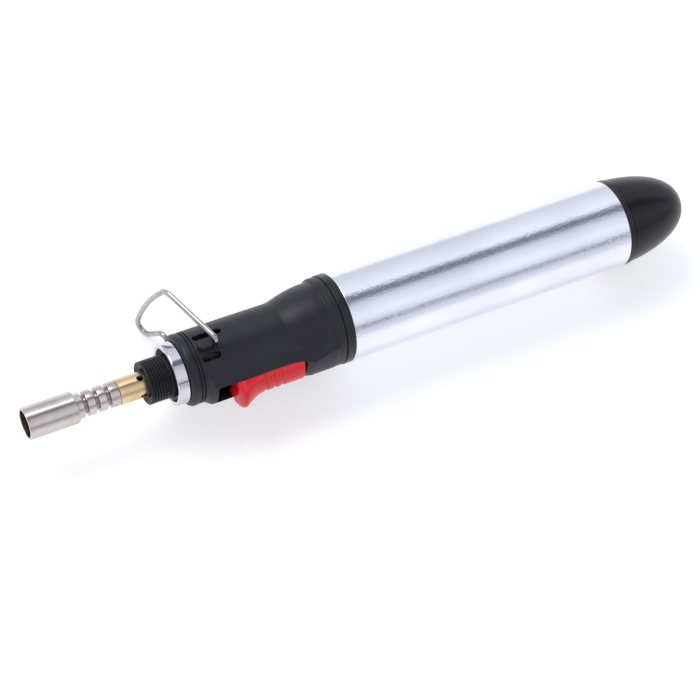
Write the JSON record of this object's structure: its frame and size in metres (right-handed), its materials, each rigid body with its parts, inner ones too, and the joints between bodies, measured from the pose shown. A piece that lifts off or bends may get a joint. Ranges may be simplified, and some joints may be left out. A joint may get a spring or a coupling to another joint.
{
  "type": "butane torch",
  "caption": "Pen-shaped butane gas torch: ringed burner nozzle, threaded collar, sliding red trigger, fold-out wire stand, aluminium barrel and rounded pull-off tail cap",
  "frame": {"origin": "centre of the burner nozzle's mouth, on the tool's axis", "axes": "+X along the tool from nozzle to tail cap; -Y the way the trigger faces; +Z across the tool, along the stand's pivot axis, square to the plane where the half shells meet"},
  "size_m": [0.1995, 0.0408, 0.0312],
  "materials": {
    "stainless": "satin turned",
    "brass": "satin",
    "brass_dark": "heat darkened",
    "steel": "bright",
    "wire_steel": "bright drawn wire",
    "ceramic_white": "glazed",
    "collar_black": "matte black oxide",
    "chrome": "polished",
    "housing_black": "matte moulded",
    "trigger_red": "semi-gloss",
    "igniter_plastic": "moulded",
    "lead_rubber": "matte",
    "clear_tube": "translucent",
    "seal_rubber": "matte",
    "band_black": "semi-gloss",
    "cap_gloss": "gloss",
    "tank_plastic": "moulded",
    "wick_felt": "felt",
    "barrel_aluminium": "satin anodised"
  },
  "bodies": {
    "torch": {"burner_nozzle": "stainless", "flame_disc": "brass_dark", "electrode_rod": "steel", "electrode_insulator": "ceramic_white", "mixing_tube": "brass", "jet_holder": "brass", "gas_jet": "brass", "jet_filter": "brass_dark", "threaded_collar": "collar_black", "retaining_ring": "chrome", "shell_upper": "housing_black", "shell_lower": "housing_black", "housing_screws": "steel", "piezo_body": "igniter_plastic", "piezo_spring": "steel", "ignition_lead": "lead_rubber", "lever_pin": "steel", "gas_tube": "clear_tube", "valve_body": "brass", "valve_spring": "steel", "tank_head": "band_black", "head_o_ring": "seal_rubber", "fuel_tank": "tank_plastic", "fuel_wick": "wick_felt", "barrel_sleeve": "barrel_aluminium", "tank_tail": "band_black", "tail_o_ring": "seal_rubber", "fill_valve_body": "brass", "fill_valve_spring": "steel"},
    "trigger": {"trigger": "trigger_red"},
    "plunger": {"piezo_plunger": "igniter_plastic"},
    "lever": {"valve_lever": "steel"},
    "stem": {"valve_stem": "brass", "valve_seal": "seal_rubber"},
    "stand": {"wire_stand": "wire_steel"},
    "flow": {"flow_ring": "band_black"},
    "cap": {"tail_cap": "cap_gloss"},
    "refill": {"fill_valve_stem": "brass", "fill_valve_seal": "seal_rubber"}
  },
  "joints": [
    {"name": "trigger_slide", "type": "slide", "parent": "torch", "child": "trigger", "axis": [-1, 0, 0], "range_m": [0, 0.005], "stiffness_N_per_m": 600, "springref_m": -0.002, "deforming": ["piezo_spring"]},
    {"name": "plunger_slide", "type": "slide", "parent": "torch", "child": "plunger", "axis": [-1, 0, 0], "range_m": [0, 0.005]},
    {"name": "lever_turn", "type": "hinge", "parent": "torch", "child": "lever", "pos_m": [0.0725, -0.0032, 0], "axis": [0, 0, 1], "range_deg": [0, 10.1]},
    {"name": "stem_lift", "type": "slide", "parent": "torch", "child": "stem", "axis": [-1, 0, 0], "range_m": [0, 0.00061], "deforming": ["valve_spring"]},
    {"name": "stand_swing", "type": "hinge", "parent": "torch", "child": "stand", "pos_m": [0.0525, 0, 0], "axis": [0, 0, -1], "range_deg": [0, 80]},
    {"name": "flow_turn", "type": "hinge", "parent": "torch", "child": "flow", "pos_m": [0.0836, 0, 0], "axis": [1, 0, 0], "range_deg": [-25, 25]},
    {"name": "cap_pull", "type": "slide", "parent": "torch", "child": "cap", "axis": [1, 0, 0], "range_m": [0, 0.025]},
    {"name": "refill_press", "type": "slide", "parent": "torch", "child": "refill", "axis": [-1, 0, 0], "range_m": [0, 0.0015], "stiffness_N_per_m": 400, "springref_m": -0.001, "deforming": ["fill_valve_spring"]}
  ],
  "couplings": [
    {"joint": "plunger_slide", "follows": "trigger_slide", "ratio": 1},
    {"joint": "lever_turn", "follows": "trigger_slide", "rad_per_m": 34.9},
    {"joint": "stem_lift", "follows": "trigger_slide", "ratio": 0.12}
  ]
}
